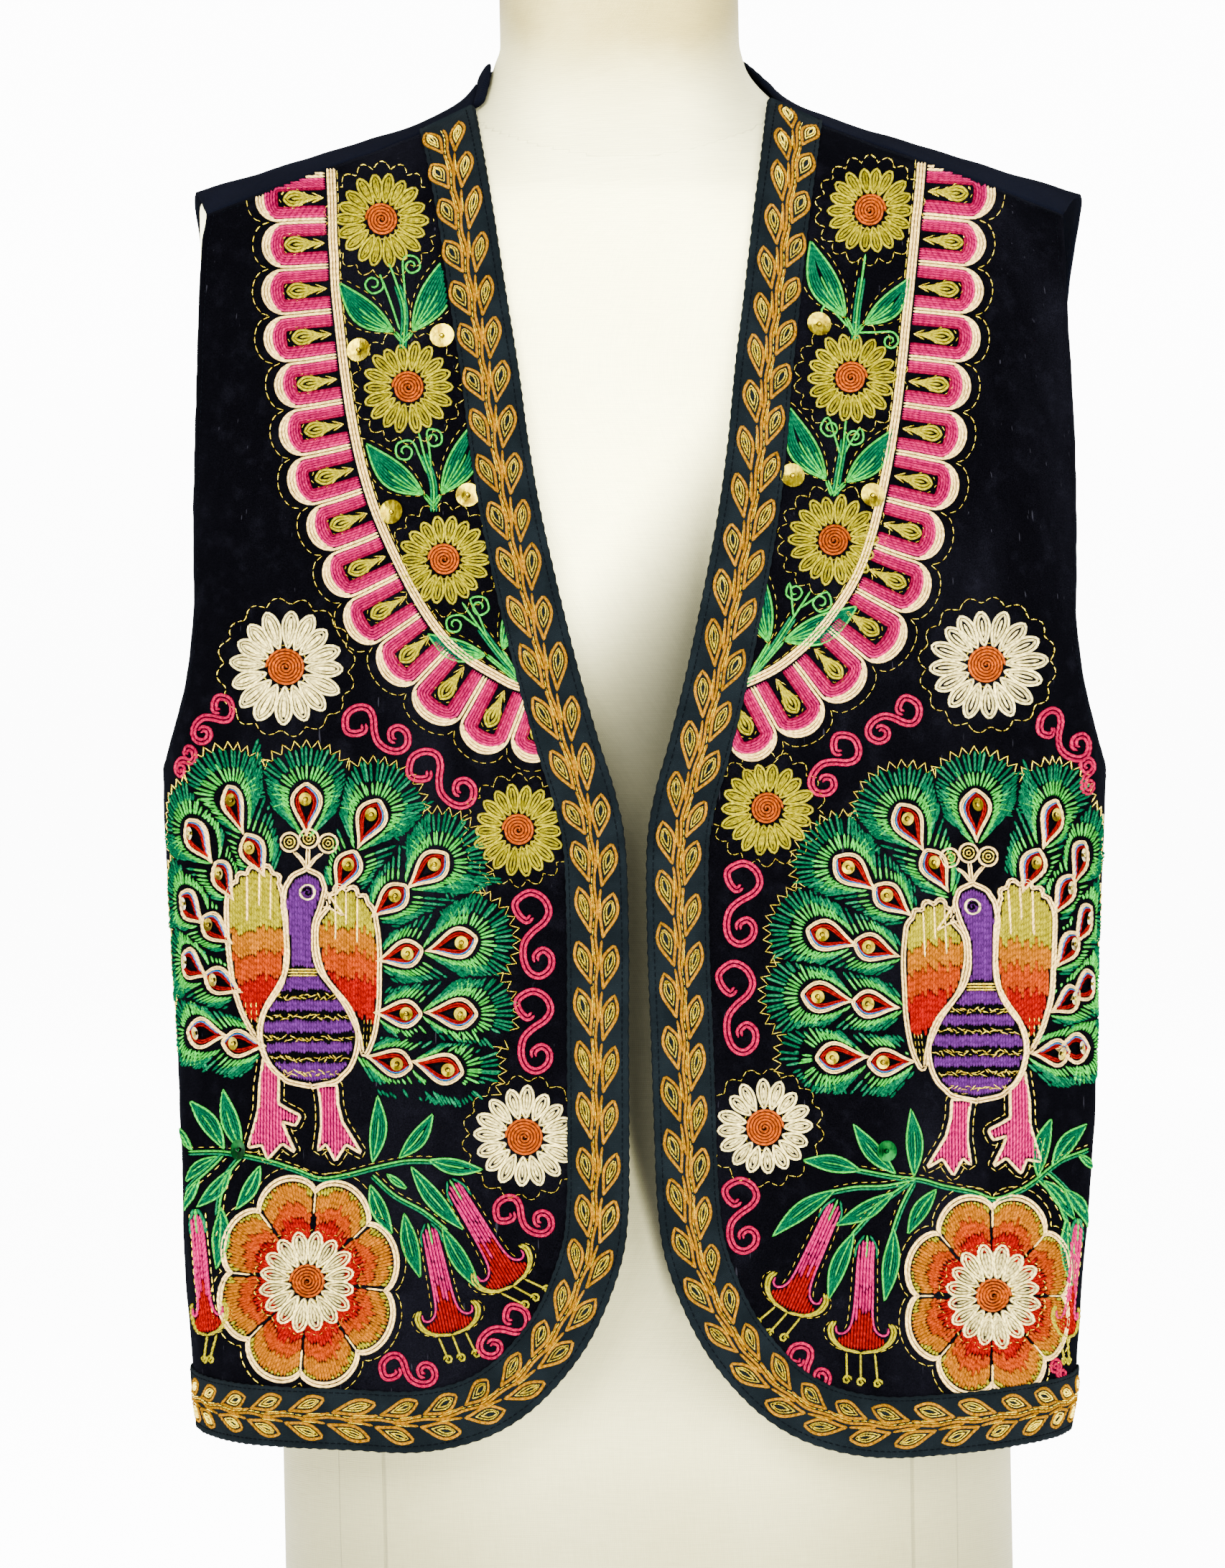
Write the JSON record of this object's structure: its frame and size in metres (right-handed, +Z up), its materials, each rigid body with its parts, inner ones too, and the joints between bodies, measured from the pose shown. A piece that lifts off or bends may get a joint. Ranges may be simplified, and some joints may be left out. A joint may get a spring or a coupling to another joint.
{
  "type": "embroidered folk vest on dress form",
  "caption": "Open-front sleeveless vest of black velvet with rounded lower corners, leaf-vine ribbon edging and dense floral and bird embroidery, worn by a limbless linen-covered dress form.",
  "frame": {"origin": "on the floor, in the middle of the whole part's box, under the dress form's flat underside", "axes": "+Z up; the front of the vest faces -Y; the wearer's left is +X"},
  "size_m": [0.409, 0.2534, 0.772],
  "materials": {
    "linen": "plain off-white linen cover, fine weave",
    "velvet": "black velvet with chain-stitch embroidery and large sequins",
    "ribbon": "slate cotton ribbon with gold and yellow leaf vine",
    "wool_thread": "dyed wool yarn in chain stitch, many colours",
    "gold_thread": "wrapped metallic gold thread",
    "sequin": "round gold sequins sewn through the middle",
    "twill": "plain dark navy twill"
  },
  "bodies": {
    "root": {"dress_form": "linen", "front_left": "velvet", "front_right": "velvet", "leaf_band_left": "ribbon", "leaf_band_right": "ribbon", "back": "twill", "neck_binding": "twill"}
  },
  "joints": []
}
